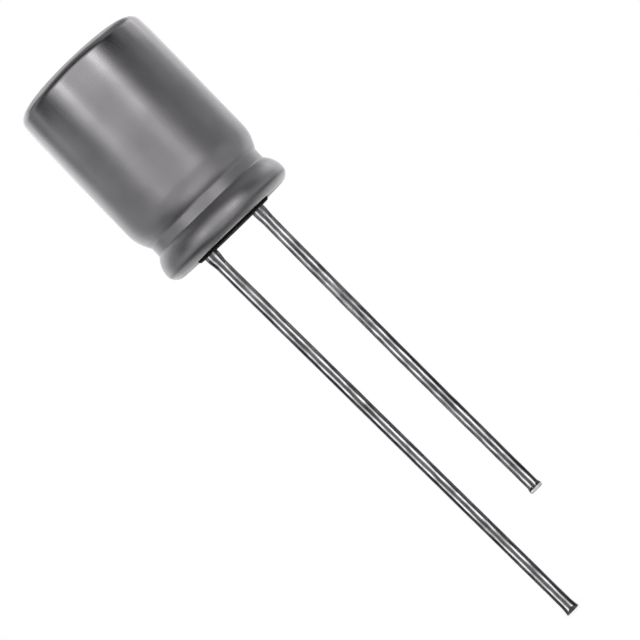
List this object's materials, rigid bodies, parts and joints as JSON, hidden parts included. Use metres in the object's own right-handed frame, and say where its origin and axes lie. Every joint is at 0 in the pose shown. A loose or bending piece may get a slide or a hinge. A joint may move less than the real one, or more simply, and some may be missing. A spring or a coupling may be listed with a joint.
{
  "type": "aluminum polymer capacitor",
  "caption": "Radial-lead capacitor: bare aluminium can beaded and curled over a black rubber seal, wound element inside, one long and one short tinned lead.",
  "frame": {"origin": "middle of the seal's foot, the face that meets the circuit board", "axes": "+Z along the can's axis towards its closed top, +X from the long lead towards the short lead"},
  "size_m": [0.0064, 0.0064, 0.0292],
  "materials": {
    "can": "satin, drawn",
    "seal": "matte, moulded",
    "lead": "bright tinned, drawn",
    "tab": "plain",
    "winding": "wound foil and paper",
    "tape": "film tape"
  },
  "bodies": {
    "root": {"can": "can", "rubber_seal": "seal", "wound_element": "winding", "winding_tape": "tape", "anode_tab": "tab", "cathode_tab": "tab", "anode_lead": "lead", "cathode_lead": "lead"}
  },
  "joints": []
}
